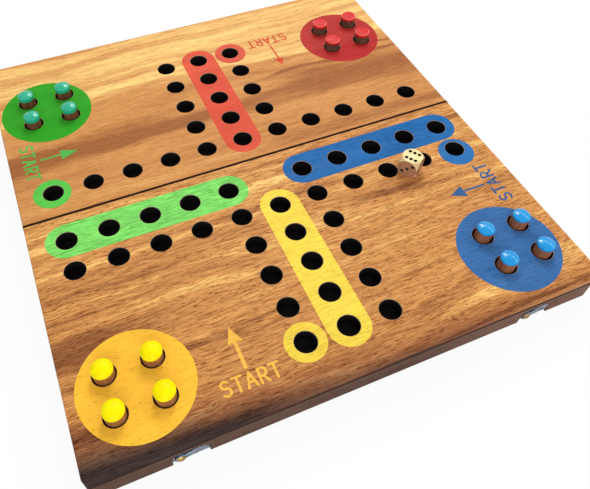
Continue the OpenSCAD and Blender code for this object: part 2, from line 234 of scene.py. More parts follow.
def wood_group():
    """Wood with growth rings, fibres and open pores; the grain runs along X."""
    tree = bpy.data.node_groups.new("open_pored_wood", "ShaderNodeTree")
    face = tree.interface
    for label, kind, value in (
            ("Vector", "NodeSocketVector", (0, 0, 0)),
            ("Pale", "NodeSocketColor", (0.8, 0.45, 0.15, 1)),
            ("Middle", "NodeSocketColor", (0.6, 0.27, 0.085, 1)),
            ("Deep", "NodeSocketColor", (0.3, 0.12, 0.045, 1)),
            ("Heart Y", "NodeSocketFloat", 0.0),
            ("Heart Z", "NodeSocketFloat", -60.0),
            ("Ring Width", "NodeSocketFloat", 9.0),
            ("Contrast", "NodeSocketFloat", 1.0),
            ("Stain", "NodeSocketFloat", 0.0),
            ("Fibre", "NodeSocketFloat", 0.6),
            ("Pores", "NodeSocketFloat", 0.6),
            ("Coarseness", "NodeSocketFloat", 1.0),
            ("Seed", "NodeSocketFloat", 0.0)):
        face.new_socket(name=label, in_out="INPUT", socket_type=kind).default_value = value
    for label, kind in (("Color", "NodeSocketColor"), ("Pore Mask", "NodeSocketFloat"),
                        ("Height", "NodeSocketFloat"), ("Tone", "NodeSocketFloat"),
                        ("Fibres", "NodeSocketFloat")):
        face.new_socket(name=label, in_out="OUTPUT", socket_type=kind)
    given = tree.nodes.new("NodeGroupInput").outputs
    place = scaled(tree, given["Vector"], 1 / MM)
    seed = given["Seed"]
    # Rings round a wandering heart, cut by the board's faces, and grain that waves a little
    wander = cloud(tree, stretched(tree, place, 130, 70, 70), seed, 2.5)
    drift = sums(tree, "MULTIPLY_ADD", wander, 46.0, -23.0)
    ripple = cloud(tree, stretched(tree, place, 16, 9, 9), seed, 2.0)
    wave = added_node(tree, "ShaderNodeCombineXYZ", {
        "Y": sums(tree, "MULTIPLY_ADD", ripple, 3.6, -1.8)})
    place = added_node(
        tree, "ShaderNodeVectorMath", {0: place, 1: wave.outputs[0]}, operation="ADD").outputs[0]
    xyz = parts(tree, place)
    across = sums(tree, "ADD", sums(tree, "SUBTRACT", xyz["Y"], given["Heart Y"]), drift)
    below = sums(tree, "SUBTRACT", xyz["Z"], given["Heart Z"])
    radius = sums(tree, "SQRT", sums(
        tree, "ADD", sums(tree, "MULTIPLY", across, across), sums(tree, "MULTIPLY", below, below)))
    ring = sums(tree, "DIVIDE", radius, given["Ring Width"])
    wide = added_node(
        tree, "ShaderNodeTexNoise",
        {"W": sums(tree, "ADD", ring, seed), "Scale": 1.0, "Detail": 2.0, "Roughness": 0.55},
        noise_dimensions="1D").outputs["Fac"]
    fine = added_node(
        tree, "ShaderNodeTexNoise",
        {"W": sums(tree, "MULTIPLY", ring, 4.3), "Scale": 1.0, "Detail": 3.0, "Roughness": 0.7},
        noise_dimensions="1D").outputs["Fac"]
    patch = cloud(tree, stretched(tree, place, 95, 17, 17), seed, 3.0)
    threads = cloud(tree, stretched(tree, place, 26, 1.2, 1.2), seed, 3.0, 0.65)
    tone = sums(tree, "MULTIPLY_ADD", wide, 0.32, sums(tree, "MULTIPLY_ADD", fine, 0.14, sums(
        tree, "MULTIPLY_ADD", patch, 0.24, sums(tree, "MULTIPLY", threads, 0.30))))
    tone = sums(tree, "MULTIPLY_ADD", sums(tree, "SUBTRACT", tone, 0.5), given["Contrast"], 0.5)
    tone = sums(tree, "SUBTRACT", tone, sums(tree, "MULTIPLY", given["Stain"], 0.3))
    colour = blended(tree, ramp(tree, tone, 0.24, 0.48), given["Deep"], given["Middle"])
    colour = blended(tree, ramp(tree, tone, 0.48, 0.72), colour, given["Pale"])
    # Fibres, dark ones redder, and pores cut open as short dark dashes of two sizes
    place = scaled(tree, place, sums(tree, "DIVIDE", 1.0, given["Coarseness"]))
    fibres = cloud(tree, stretched(tree, place, 7, 0.45, 0.45), seed, 3.0, 0.65)
    fibres = ramp(tree, fibres, 0.30, 0.70)
    redder = times(tree, colour, (0.55, 0.40, 0.30))
    paler = times(tree, colour, (1.25, 1.32, 1.34))
    low = sums(tree, "MULTIPLY", ramp(tree, fibres, 0.5, 0.0), given["Fibre"])
    high = sums(tree, "MULTIPLY", ramp(tree, fibres, 0.5, 1.0), given["Fibre"])
    colour = blended(tree, high, blended(tree, low, colour, redder), paler)
    crowd = cloud(tree, stretched(tree, place, 60, 12, 12), seed, 1.0)
    pore = 0.0
    for long, wide, share, depth in ((4.0, 0.75, 1.0, 0.9), (2.4, 0.5, 0.8, 0.8)):
        cells = added_node(
            tree, "ShaderNodeTexVoronoi",
            {"Vector": stretched(tree, place, long, wide, wide), "W": seed, "Scale": 1.0},
            voronoi_dimensions="4D")
        some = added_node(tree, "ShaderNodeSeparateColor", {0: cells.outputs["Color"]})
        chosen = ramp(tree, sums(tree, "ADD", some.outputs[0], crowd), share - 0.1, share + 0.1)
        cut = sums(tree, "MULTIPLY", ramp(tree, cells.outputs["Distance"], 0.42, 0.18), chosen)
        pore = sums(tree, "MAXIMUM", pore, sums(tree, "MULTIPLY", cut, depth))
    pore = sums(tree, "MULTIPLY", pore, given["Pores"])
    dark = times(tree, colour, (0.42, 0.28, 0.22))
    height = sums(tree, "SUBTRACT", sums(tree, "MULTIPLY", fibres, 0.25), pore)
    out = tree.nodes.new("NodeGroupOutput")
    for label, value in (("Color", blended(tree, pore, colour, dark)), ("Pore Mask", pore),
                         ("Height", height), ("Tone", tone), ("Fibres", fibres)):
        tree.links.new(value, out.inputs[label])
    return tree


def finish_material(name, roughness, metallic=0.0, coat=0.0, coat_roughness=0.1, specular=0.04):
    """A material with its constant finish on the shader's own sockets."""
    material = bpy.data.materials.new(name)
    material.use_nodes = True
    shader = material.node_tree.nodes["Principled BSDF"]
    for label, value in (("Roughness", roughness), ("Metallic", metallic), ("Coat Weight", coat),
                         ("Coat Roughness", coat_roughness), ("Specular IOR Level", specular)):
        shader.inputs[label].default_value = value
    return material, material.node_tree, shader


def bumped(tree, shader, height, depth_mm, strength=1.0):
    """Feeds a height from 0 to 1 into the shader's normal."""
    bump = added_node(tree, "ShaderNodeBump", {"Height": height, "Strength": strength,
                                               "Distance": depth_mm * MM})
    tree.links.new(bump.outputs[0], shader.inputs["Normal"])


def object_place(tree, turn=0.0, shift=(0, 0, 0)):
    """The piece's own coordinates, turned about Z so that the grain follows the piece."""
    place = tree.nodes.new("ShaderNodeTexCoord").outputs["Object"]
    mapping = added_node(tree, "ShaderNodeMapping", {
        "Vector": place, "Rotation": (0, 0, turn), "Location": [part * MM for part in shift]})
    return mapping.outputs[0]


def streak_mask(tree, vector, drift, streaks):
    """A slow change of tone across the board, and broad brown streaks over it: each has its
    Y at the middle, slope, half width, strength, and where along the board it starts and ends."""
    xyz = parts(tree, vector)
    sway = cloud(tree, times(tree, vector, (9.0, 16.0, 0.0)), 3.0, 2.0)
    sway = sums(tree, "MULTIPLY_ADD", sway, 0.022, -0.011)
    total = ramp(tree, xyz["Y"], *[part * MM for part in drift[:2]], *drift[2:])
    for middle, slope, width, strength, start, end in streaks:
        line = sums(tree, "MULTIPLY_ADD", xyz["X"], slope, middle * MM)
        off = sums(tree, "SUBTRACT", sums(tree, "ADD", xyz["Y"], sway), line)
        band = ramp(tree, sums(tree, "ABSOLUTE", off), width * MM, 0.0, 0.0, strength)
        grow = ramp(tree, xyz["X"], start * MM, (start + 60) * MM)
        fade = ramp(tree, xyz["X"], end * MM, (end - 60) * MM)
        band = sums(tree, "MULTIPLY", band, sums(tree, "MULTIPLY", grow, fade))
        total = sums(tree, "ADD", total, band)
    return total


wood = wood_group()
board_woods = {
    "back": {"Heart Y": 215.0, "Heart Z": -70.0, "Seed": 1.7, "Pores": 0.45, "Fibre": 0.5,
             "Pale": (1.0, 0.67, 0.23, 1), "Middle": (0.63, 0.28, 0.088, 1),
             "Deep": (0.36, 0.13, 0.042, 1), "Contrast": 0.85, "Ring Width": 13.0},
    "front": {"Heart Y": -300.0, "Heart Z": -90.0, "Seed": 5.3, "Pores": 1.0, "Fibre": 1.0,
              "Pale": (0.90, 0.54, 0.170, 1), "Middle": (0.62, 0.275, 0.084, 1),
              "Deep": (0.27, 0.10, 0.036, 1), "Contrast": 1.4, "Ring Width": 9.0,
              "Coarseness": 1.2},
}
# Slow change of tone: from one Y to another, and the stain at each
board_drift = {"back": (30, 130, 0.25, -0.40), "front": (-30, -130, -0.1, 0.15)}
# Brown streaks, and pale ones where the strength is below zero, as streak_mask takes them
board_streaks = {
    "back": [(50, 0.03, 9, 0.55, -170, 60), (54, 0.0, 20, 0.75, 10, 260),
             (135, 0.02, 7, 0.15, -190, 150), (148, 0.0, 10, 0.30, -250, 250),
             (126, 0.0, 7, 0.30, -250, -60), (126, 0.0, 7, 0.30, 30, 250),
             (105, 0.0, 6, 0.25, -250, 0), (32, -0.02, 10, -0.2, -120, 120),
             (8, 0.0, 8, 0.4, -20, 250), (10, 0.0, 8, -0.3, -250, 30),
             (66, 0.03, 3, 0.9, 10, 260), (84, -0.04, 3, 0.7, 20, 260),
             (72, 0.20, 24, 0.40, -250, 10)],
    "front": [(-38, -0.08, 7, 0.35, -190, 60), (-59, 0.0, 6, 0.55, 10, 150),
              (-12, -0.02, 6, 0.45, 10, 200), (-56, 0.0, 8, 0.75, -250, -30),
              (-73, 0.0, 7, -0.25, -150, 120), (-90, 0.0, 9, -0.25, -90, 120),
              (-103, 0.0, 5, 0.5, -190, 20), (-112, 0.0, 8, 0.2, -20, 130),
              (-87, 0.0, 17, 0.8, -250, -70), (-132, 0.0, 12, 0.7, -250, -85),
              (-140, 0.08, 8, -0.6, 40, 220), (-25, -0.03, 6, -0.5, -170, 60)],
}


def wood_nodes(tree, half, vector):
    """The wood of one playing board, as a placed group."""
    stain = streak_mask(tree, vector, board_drift[half], board_streaks[half])
    values = {**board_woods[half], "Vector": vector, "Stain": stain}
    return added_node(tree, "ShaderNodeGroup", values, node_tree=wood).outputs


def heartwood_and_edge_shade_masks(tree, vector):
    """The heartwood along the near edge, widest at its left end, with painted shade of the rounded
    near edge laid into it: where it is red-brown, and where it is deep purple-brown."""
    xyz = parts(tree, vector)
    waves = cloud(tree, times(tree, vector, (14.0, 60.0, 60.0)), 8.0, 3.0)
    waves = sums(tree, "MULTIPLY_ADD", waves, 0.014, -0.007)
    edge = sums(tree, "MULTIPLY_ADD", xyz["X"], -0.080, -0.1480)
    depth = sums(tree, "SUBTRACT", sums(tree, "ADD", edge, waves), xyz["Y"])
    return ramp(tree, depth, -0.016, -0.001), ramp(tree, depth, -0.004, 0.008)


def glue_line(tree, vector, outer, inner):
    """The dark line of glue and dirt where a board meets its rails."""
    return ramp(tree, parts(tree, vector)["Z"], outer, inner)


def seam_shade(tree, vector):
    """Painted shade on the two edges that meet at the seam, where the gap between the halves falls
    dark.
    """
    return ramp(tree, sums(tree, "ABSOLUTE", parts(tree, vector)["Y"]), 1.2 * MM, 0.6 * MM)


def board_material(half):
    """Lacquered wood of one playing board."""
    material, tree, shader = finish_material(f"{half}_board_wood", 0.42)
    vector = object_place(tree)
    grain = wood_nodes(tree, half, vector)
    colour = grain["Color"]
    if half == "front":
        # Heartwood along the near edge, darkened further as painted shade over the rounded edge
        reddish, purple = heartwood_and_edge_shade_masks(tree, vector)
        colour = blended(tree, reddish, colour, times(tree, colour, (0.62, 0.54, 0.66)))
        colour = blended(tree, purple, colour, times(tree, colour, (0.13, 0.21, 0.48)))
    glued = glue_line(tree, vector, board_z + 1.5 * MM, board_z + 0.9 * MM)
    # The glue line and the painted shade of the seam darken the wood to one colour
    glue_and_seam_shade = sums(tree, "MAXIMUM", glued, seam_shade(tree, vector))
    colour = blended(tree, glue_and_seam_shade, colour, (0.035, 0.015, 0.010))
    tree.links.new(colour, shader.inputs["Base Color"])
    tree.links.new(ramp(tree, grain["Tone"], 0.3, 0.7, 0.5, 0.38), shader.inputs["Roughness"])
    bumped(tree, shader, grain["Height"], 0.09)
    return material


def hole_material():
    """Black stain on the drilled wall, with a faint sheen and drill marks."""
    material, tree, shader = finish_material("hole_black_stain", 0.45)
    place = object_place(tree)
    marks = cloud(tree, stretched(tree, place, 0.006, 0.006, 0.0004), 2.0, 2.0)
    tree.links.new(
        blended(tree, marks, (0.004, 0.004, 0.004), (0.016, 0.014, 0.013)),
        shader.inputs["Base Color"])
    bumped(tree, shader, marks, 0.05)
    return material


def rim_highlight_material():
    """Bare wood where the countersink broke the edge of a hole, painted pale grey as a highlight
    where the edge catches light.
    """
    material, tree, shader = finish_material("hole_rim_wood", 0.5)
    place = object_place(tree)
    specks = cloud(tree, stretched(tree, place, 0.0012, 0.0004, 0.0004), 6.0, 2.0)
    # Pale grey over the bare wood is a painted highlight on the broken edge
    tree.links.new(
        blended(tree, specks, (0.20, 0.15, 0.11), (0.40, 0.33, 0.26)),
        shader.inputs["Base Color"])
    bumped(tree, shader, specks, 0.03)
    return material


def hole_x(column):
    return (column - 6) * pitch_x


def hole_y(row):
    if row < 7:
        return -first_row - (6 - row) * pitch_y
    return first_row + (row - 7) * pitch_y


def has_hole(column, row):
    """True on the cross of tracks and home lanes, and in the four bases."""
    on_track = 5 <= column <= 7 or 5 <= row <= 7
    in_base = (column <= 2 or column >= 10) and (row <= 2 or row >= 10)
    return (on_track or in_base) and (column, row) != (6, 6)


board_rows = {"front": range(1, 7), "back": range(7, 12)}
hole_centres = {
    half: [(hole_x(column), hole_y(row)) for column in columns for row in rows
           if has_hole(column, row)]
    for half, rows in board_rows.items()
}


def linked(name, mesh):
    """A new object at the origin that shows a mesh."""
    thing = bpy.data.objects.new(name, mesh)
    bpy.context.scene.collection.objects.link(thing)
    return thing


def smooth_by_angle(mesh, degrees=30):
    """Smooth shading, with edges sharper than this left sharp."""
    mesh.polygons.foreach_set("use_smooth", [True] * len(mesh.polygons))
    mesh.set_sharp_from_angle(angle=math.radians(degrees))
    mesh.update()


def half_outline(side):
    """Plan of one half: points, outward directions, and the rounding of the edge there."""
    w = board_w / 2
    points = [((-w, seam_gap), (-1, -1), seam_edge_r), ((w, seam_gap), (1, -1), seam_edge_r),
              ((w, seam_gap + seam_corner), (1, 0), side_edge_r)]
    steps = 8
    for turn in (0, 1):
        for step in range(steps + 1):
            share = step / steps
            angle = math.radians(90 * (turn + share))
            out = (math.cos(angle), math.sin(angle))
            middle = ((1 - 2 * turn) * (w - corner_r), half_d - corner_r)
            rounding = share if turn == 0 else 1 - share
            points.append((
                (middle[0] + out[0] * corner_r, middle[1] + out[1] * corner_r), out,
                side_edge_r + (long_edge_r - side_edge_r) * rounding))
    points.append(((-w, seam_gap + seam_corner), (-1, 0), side_edge_r))
    return [((x, side * y), (ox, side * oy), r) for (x, y), (ox, oy), r in points]


def board_blank(half):
    """The solid slab before drilling, with a loose point at each hole's centre."""
    side = 1 if half == "back" else -1
    outline = half_outline(side)
    blank = bmesh.new()
    rings = []
    # Joint edge below, upright wall, then the rounded top edge in steps
    levels = [(joint_chamfer, None, board_z), (0.0, None, board_z + joint_chamfer)]
    levels += [(None, math.radians(angle), surface_z) for angle in range(0, 91, 15)]
    for inset, angle, z in levels:
        ring = []
        for (x, y), (ox, oy), r in outline:
            pull = inset if angle is None else r * (1 - math.cos(angle))
            drop = 0.0 if angle is None else r * (1 - math.sin(angle))
            ring.append(blank.verts.new((x - ox * pull, y - oy * pull, z - drop)))
        rings.append(ring)
    count = len(outline)
    for lower, upper in zip(rings, rings[1:]):
        for i in range(count):
            j = (i + 1) % count
            blank.faces.new((lower[i], lower[j], upper[j], upper[i]))
    blank.faces.new(rings[0])
    blank.faces.new(rings[-1])
    bmesh.ops.recalc_face_normals(blank, faces=blank.faces[:])
    drill = blank.verts.layers.bool.new("drill_centre")
    for x, y in hole_centres[half]:
        blank.verts.new((x, y, 0))[drill] = True
    mesh = bpy.data.meshes.new(f"{half}_blank")
    blank.to_mesh(mesh)
    blank.free()
    return linked(f"{half}_blank", mesh)


def geometry_tree(name, inputs):
    """An empty Geometry Nodes tree with a geometry input and these named inputs."""
    tree = bpy.data.node_groups.new(name, "GeometryNodeTree")
    face = tree.interface
    face.new_socket(name="Geometry", in_out="INPUT", socket_type="NodeSocketGeometry")
    for label, kind in inputs:
        face.new_socket(name=label, in_out="INPUT", socket_type=kind)
    face.new_socket(name="Geometry", in_out="OUTPUT", socket_type="NodeSocketGeometry")
    return tree, tree.nodes.new("NodeGroupInput").outputs


def made_plain(thing, tree, values, name):
    """Runs a Geometry Nodes tree on an object and keeps the result as a plain mesh."""
    modifier = thing.modifiers.new(tree.name, "NODES")
    modifier.node_group = tree
    for item in tree.interface.items_tree:
        if item.in_out == "INPUT" and item.name in values:
            modifier[item.identifier] = values[item.name]
    bpy.context.view_layer.update()
    seen = thing.evaluated_get(bpy.context.evaluated_depsgraph_get())
    mesh = bpy.data.meshes.new_from_object(seen)
    mesh.name = name
    thing.modifiers.clear()
    bpy.data.objects.remove(thing)
    return linked(name, mesh)


def drilling_tree():
    """Drills a hole through a slab at each marked point, then breaks its upper edge."""
    tree, given = geometry_tree("drilled_holes", [
        ("Hole Radius", "NodeSocketFloat"), ("Rim Cut", "NodeSocketFloat"),
        ("Top", "NodeSocketFloat"), ("Bottom", "NodeSocketFloat"), ("Facets", "NodeSocketInt"),
        ("Wood", "NodeSocketMaterial"), ("Stain", "NodeSocketMaterial"),
        ("Rim", "NodeSocketMaterial")])

    def maths(operation, first, second):
        return sums(tree, operation, first, second)

    def lifted(thing, height):
        spot = added_node(tree, "ShaderNodeCombineXYZ", {"Z": height}).outputs[0]
        return added_node(
            tree, "GeometryNodeTransform", {"Geometry": thing, "Translation": spot}).outputs[0]

    marked = added_node(
        tree, "GeometryNodeInputNamedAttribute", {"Name": "drill_centre"}, data_type="BOOLEAN")
    parted = added_node(
        tree, "GeometryNodeSeparateGeometry",
        {"Geometry": given["Geometry"], "Selection": marked.outputs["Attribute"]})
    over = 1 * MM
    under_rim = 0.2 * MM
    depth = maths("ADD", maths("SUBTRACT", given["Top"], given["Bottom"]), 2 * over)
    drill = added_node(
        tree, "GeometryNodeMeshCylinder",
        {"Vertices": given["Facets"], "Radius": given["Hole Radius"], "Depth": depth})
    drill = lifted(drill.outputs["Mesh"], maths(
        "MULTIPLY", maths("ADD", given["Top"], given["Bottom"]), 0.5))
    sink = added_node(tree, "GeometryNodeMeshCone", {
        "Vertices": given["Facets"], "Depth": maths("ADD", given["Rim Cut"], over + under_rim),
        "Radius Bottom": maths("SUBTRACT", given["Hole Radius"], under_rim),
        "Radius Top": maths("ADD", given["Hole Radius"], maths("ADD", given["Rim Cut"], over))})
    sink = lifted(sink.outputs["Mesh"], maths(
        "SUBTRACT", given["Top"], maths("ADD", given["Rim Cut"], under_rim)))
    slab = parted.outputs["Inverted"]
    for tool, coat in ((drill, "Stain"), (sink, "Rim")):
        coated = added_node(
            tree, "GeometryNodeSetMaterial", {"Geometry": tool, "Material": given[coat]})
        many = added_node(
            tree, "GeometryNodeInstanceOnPoints",
            {"Points": parted.outputs["Selection"], "Instance": coated.outputs[0]})
        cutters = added_node(tree, "GeometryNodeRealizeInstances", {0: many.outputs[0]})
        slab = added_node(
            tree, "GeometryNodeMeshBoolean", {"Mesh 1": slab, "Mesh 2": cutters.outputs[0]},
            operation="DIFFERENCE", solver="EXACT").outputs["Mesh"]
    cut = [added_node(tree, "GeometryNodeMaterialSelection", {0: given[coat]}).outputs[0]
           for coat in ("Stain", "Rim")]
    any_cut = added_node(tree, "FunctionNodeBooleanMath", {0: cut[0], 1: cut[1]}, operation="NOR")
    real = added_node(tree, "GeometryNodeRealizeInstances", {0: slab})
    done = added_node(
        tree, "GeometryNodeSetMaterial",
        {"Geometry": real.outputs[0], "Selection": any_cut.outputs[0], "Material": given["Wood"]})
    tree.links.new(done.outputs[0], tree.nodes.new("NodeGroupOutput").inputs[0])
    return tree


hole_facets = 48
drilling = drilling_tree()
hole_stain = hole_material()
rim_wood_and_highlight = rim_highlight_material()
for half in ("front", "back"):
    board = made_plain(board_blank(half), drilling, {
        "Hole Radius": hole_r, "Rim Cut": rim_cut, "Top": surface_z, "Bottom": board_z,
        "Facets": hole_facets, "Wood": board_material(half), "Stain": hole_stain,
        "Rim": rim_wood_and_highlight}, f"{half}_board")
    smooth_by_angle(board.data, 25)
    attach(board, f"{half}_half")
    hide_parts(f"{half}_playing_board")

# Printed colours
# Thin screen-printed paint on the lacquered wood: a round base and a start ring in each
# player's colour, a home lane across the track, and a start word with its arrow. The grain
# and the pores show through, and the holes were drilled after printing.
paint_t = 0.05 * MM
ring_clear = 0.25 * MM
base_r = 28.8 * MM
start_r = 11.1 * MM
lane_r = 11.8 * MM
arc_steps = 96


def disc(x, y, r):
    """Outline of a round print."""
    return [(x + r * math.cos(math.tau * i / arc_steps), y + r * math.sin(math.tau * i / arc_steps))
            for i in range(arc_steps)]


def capsule(first, last, r, steps=arc_steps // 2):
    """Outline of a long print with round ends, from one end's centre to the other's."""
    (x0, y0), (x1, y1) = first, last
    facing = math.atan2(y1 - y0, x1 - x0)
    points = []
    for (x, y), turn in (((x1, y1), -90), ((x0, y0), 90)):
        for i in range(steps + 1):
            angle = facing + math.radians(turn + 180 * i / steps)
            points.append((x + r * math.cos(angle), y + r * math.sin(angle)))
    return points


def inside(point, outline):
    """True where a point lies inside a closed outline."""
    x, y = point
    found = False
    for (x0, y0), (x1, y1) in zip(outline, outline[1:] + outline[:1]):
        if (y0 > y) != (y1 > y) and x < (x1 - x0) * (y - y0) / (y1 - y0) + x0:
            found = not found
    return found


def flat_print(name, shapes, holes, material, body):
    """One thin layer of paint over the joined shapes, open at the holes."""
    points = []
    edges = []
    for outline in shapes + holes:
        first = len(points)
        points += [Vector(point) for point in outline]
        edges += [(first + i, first + (i + 1) % len(outline)) for i in range(len(outline))]
    found, _, faces, _, _, _ = delaunay_2d_cdt(points, edges, [], 0, 1e-9)
    layer = bmesh.new()
    top = surface_z + paint_t
    tops = [layer.verts.new((point.x, point.y, top)) for point in found]
    for face in faces:
        middle = sum((found[i] for i in face), Vector((0, 0))) / len(face)
        kept = any(inside(middle, shape) for shape in shapes)
        if kept and not any(inside(middle, hole) for hole in holes):
            layer.faces.new([tops[i] for i in face])
    bmesh.ops.delete(layer, geom=[v for v in layer.verts if not v.link_faces], context="VERTS")
    bmesh.ops.recalc_face_normals(layer, faces=layer.faces[:])
    if layer.faces[:] and layer.faces[:][0].normal.z < 0:
        bmesh.ops.reverse_faces(layer, faces=layer.faces[:])
    upper = layer.faces[:]
    below = bmesh.ops.duplicate(layer, geom=layer.verts[:] + layer.edges[:] + upper)
    copied = [item for item in below["geom"] if isinstance(item, bmesh.types.BMFace)]
    bmesh.ops.reverse_faces(layer, faces=copied)
    for item in below["geom"]:
        if isinstance(item, bmesh.types.BMVert):
            item.co.z = surface_z
    matching = below["vert_map"]
    middle_z = surface_z + paint_t / 2
    for edge in [edge for edge in layer.edges if edge.is_boundary]:
        a, b = edge.verts
        if a.co.z > middle_z:
            layer.faces.new((a, b, matching[b], matching[a]))
    bmesh.ops.recalc_face_normals(layer, faces=layer.faces[:])
    mesh = bpy.data.meshes.new(name)
    layer.to_mesh(mesh)
    layer.free()
    mesh.materials.append(material)
    piece = linked(name, mesh)
    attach(piece, f"{body}_half")
    return piece


def print_material(name, half, colour, shows, streaks):
    """Paint in one colour that sinks into the pores and lets some grain show."""
    material, tree, shader = finish_material(f"{name}_paint", 0.44)
    vector = object_place(tree)
    grain = wood_nodes(tree, half, vector)
    mottled = cloud(tree, stretched(tree, vector, 0.030, 0.010, 0.010), 4.0, 3.0)
    even = ramp(tree, mottled, 0.3, 0.7, 0.93, 1.05)
    streaky = ramp(tree, grain["Fibres"], 0.0, 1.0, 1.0 - streaks, 1.0 + streaks)
    paint = scaled(tree, scaled(tree, colour, even), streaky)
    paint = blended(tree, shows, paint, grain["Color"])
    sunk = times(tree, paint, (0.50, 0.46, 0.42))
    worn = sums(tree, "MULTIPLY", grain["Pore Mask"], 0.6)
    tree.links.new(blended(tree, worn, paint, sunk), shader.inputs["Base Color"])
    tree.links.new(ramp(tree, grain["Tone"], 0.3, 0.7, 0.5, 0.4), shader.inputs["Roughness"])
    bumped(tree, shader, grain["Height"], 0.06)
    return material


def lane(first, last):
    """A home lane over the holes from one place of the grid to another."""
    return capsule((hole_x(first[0]), hole_y(first[1])), (hole_x(last[0]), hole_y(last[1])), lane_r)


cuts = {half: [disc(x, y, hole_r + ring_clear) for x, y in centres]
        for half, centres in hole_centres.items()}


def cuts_under(half, shape):
    """The holes of one half that fall on this shape."""
    return [cut for cut, centre in zip(cuts[half], hole_centres[half]) if inside(centre, shape)]


prints = [
    # Name, half, outline, colour, how much wood shows through, how streaky the paint is
    ("green_base", "back", disc(-109.9 * MM, 91.4 * MM, base_r), (0.012, 0.345, 0.016), 0.03, 0.05),
    ("red_base", "back", disc(106.0 * MM, 91.4 * MM, base_r), (0.45, 0.018, 0.022), 0.03, 0.05),
    ("yellow_base", "front", disc(-107.1 * MM, -114.5 * MM, base_r), (1.0, 0.54, 0.045),
     0.03, 0.05),
    ("blue_base", "front", disc(104.5 * MM, -116.1 * MM, base_r), (0.028, 0.145, 0.38),
     0.03, 0.10),
    ("green_start_ring", "back", disc(-120.6 * MM, 18.5 * MM, start_r), (0.085, 0.54, 0.070),
     0.04, 0.10),
    ("red_start_ring", "back", disc(hole_x(7), hole_y(11) - 0.6 * MM, start_r),
     (0.66, 0.085, 0.050), 0.03, 0.07),
    ("yellow_start_ring", "front", disc(hole_x(5), hole_y(1), start_r), (0.92, 0.66, 0.070),
     0.05, 0.10),
    ("blue_start_ring", "front", disc(hole_x(11) - 0.6 * MM, hole_y(5) - 2.6 * MM, start_r),
     (0.010, 0.155, 0.43), 0.03, 0.07),
    ("red_lane", "back", lane((6, 7), (6, 11)), (0.69, 0.086, 0.048), 0.03, 0.07),
    ("yellow_lane", "front", lane((6, 1), (6, 5)), (0.92, 0.68, 0.075), 0.05, 0.12),
    ("green_lane", "front", lane((1, 6), (5, 6)), (0.180, 0.69, 0.130), 0.05, 0.26),
    ("blue_lane", "front", lane((7, 6), (11, 6)), (0.0, 0.130, 0.39), 0.03, 0.07),
]
for name, half, shape, colour, shows, streaks in prints:
    paint = print_material(name, half, colour, shows, streaks)
    flat_print(f"{name}_print", [shape], cuts_under(half, shape), paint, half)

# Start words and arrows
# The word START in plain block strokes, and an arrow above it that points into the board.
# Each is read from its own player's side, so the same mark is printed four times.
letter_h = 7.6
letter_w = 4.6
letter_step = 6.35
stroke_r = 0.62
stroke_steps = 6
arrow_foot = 10.6
arrow_tip = 33.4


def arc_points(x, y, rx, ry, start, end, steps=14):
    """Points along an arc, in degrees."""
    turns = [math.radians(start + (end - start) * i / steps) for i in range(steps + 1)]
    return [(x + rx * math.cos(turn), y + ry * math.sin(turn)) for turn in turns]


w, h = letter_w, letter_h
letters = {
    "S": [arc_points(w / 2, 0.745 * h, 0.42 * w, 0.245 * h, 35, 270)
          + arc_points(w / 2, 0.255 * h, 0.45 * w, 0.255 * h, 90, -145)],
    "T": [[(0.0, h), (w, h)], [(w / 2, h), (w / 2, 0)]],
    "A": [[(0.0, 0), (w / 2, h)], [(w / 2, h), (w, 0)], [(0.22 * w, 0.35 * h), (0.78 * w, 0.35 * h)]],
    "R": [[(0.1 * w, 0), (0.1 * w, h)],
          [(0.1 * w, h), (0.5 * w, h)] + arc_points(0.55 * w, 0.73 * h, 0.36 * w, 0.27 * h, 90, -90)
          + [(0.1 * w, 0.46 * h)],
          [(0.45 * w, 0.46 * h), (0.95 * w, 0)]],
}


def stroke_outlines(line, r):
    """Round-ended outlines that together cover one drawn line."""
    return [capsule(first, last, r, stroke_steps) for first, last in zip(line, line[1:])]


def start_mark(x, y, turn, shaft_r, head_w, head_l):
    """Outlines of one word and arrow, turned to face its player."""
    shapes = []
    left = -(4 * letter_step + letter_w) / 2
    for i, letter in enumerate("START"):
        for line in letters[letter]:
            shifted = [(px + left + i * letter_step, py) for px, py in line]
            shapes += stroke_outlines(shifted, stroke_r)
    shapes += stroke_outlines([(0, arrow_foot), (0, arrow_tip - head_l)], shaft_r)
    shapes.append([(-head_w / 2, arrow_tip - head_l), (head_w / 2, arrow_tip - head_l),
                   (0, arrow_tip)])
    spin = Matrix.Rotation(math.radians(turn), 2)
    return [[tuple((spin @ Vector(point) + Vector((x, y))) * MM) for point in shape]
            for shape in shapes]


start_marks = [
    # Player, half, outlines from the place, turn, shaft radius and head of the arrow, colour
    ("yellow", "front", start_mark(-56.4, -136.8, 0, 0.9, 8.0, 9.0), (0.97, 0.52, 0.08)),
    ("red", "back", start_mark(54.4, 111.3, 180, 0.6, 6.6, 7.0), (0.62, 0.055, 0.022)),
    ("blue", "front", start_mark(129.4, -72.2, 90, 0.6, 8.6, 9.2), (0.010, 0.105, 0.28)),
    ("green", "back", start_mark(-132.4, 48.4, -90, 0.6, 8.4, 10.4), (0.075, 0.48, 0.08)),
]
for player, half, shapes, tint in start_marks:
    ink = print_material(f"{player}_start_mark", half, tint, 0.06, 0.10)
    flat_print(f"{player}_start_mark_print", shapes, [], ink, half)

# Frame rails
# Four rails under each half, glued to the playing board: a darker, straight-grained strip
# of the same hardwood, cut square, with the sharp edges rubbed off. The two hinge rails are
# let in for the hinges.
rail_edge = 0.35 * MM
weld_gap = 0.002 * MM


